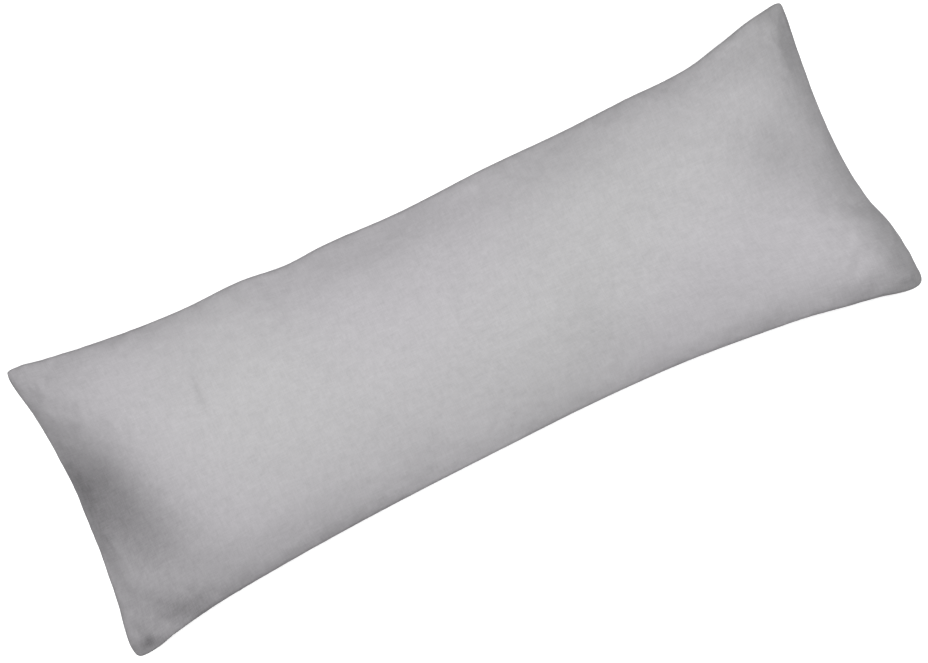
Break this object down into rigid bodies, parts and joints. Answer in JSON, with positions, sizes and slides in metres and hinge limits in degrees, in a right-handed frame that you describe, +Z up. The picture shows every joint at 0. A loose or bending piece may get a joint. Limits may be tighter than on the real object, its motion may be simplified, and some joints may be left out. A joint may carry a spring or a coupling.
{
  "type": "pregnancy pillow",
  "caption": "Long rectangular body pillow of plain light grey cloth, evenly filled, with drawn-in sides and pointed soft corners, lying on its back.",
  "frame": {"origin": "centre of the footprint, on the surface the pillow lies on", "axes": "+X along the pillow, +Y across it towards the back long side, +Z up from the surface it lies on"},
  "size_m": [1.3756, 0.4988, 0.1893],
  "materials": {
    "grey_cloth": "matt light grey plain weave with a faint marl"
  },
  "bodies": {
    "root": {"pillow": "grey_cloth"}
  },
  "joints": []
}
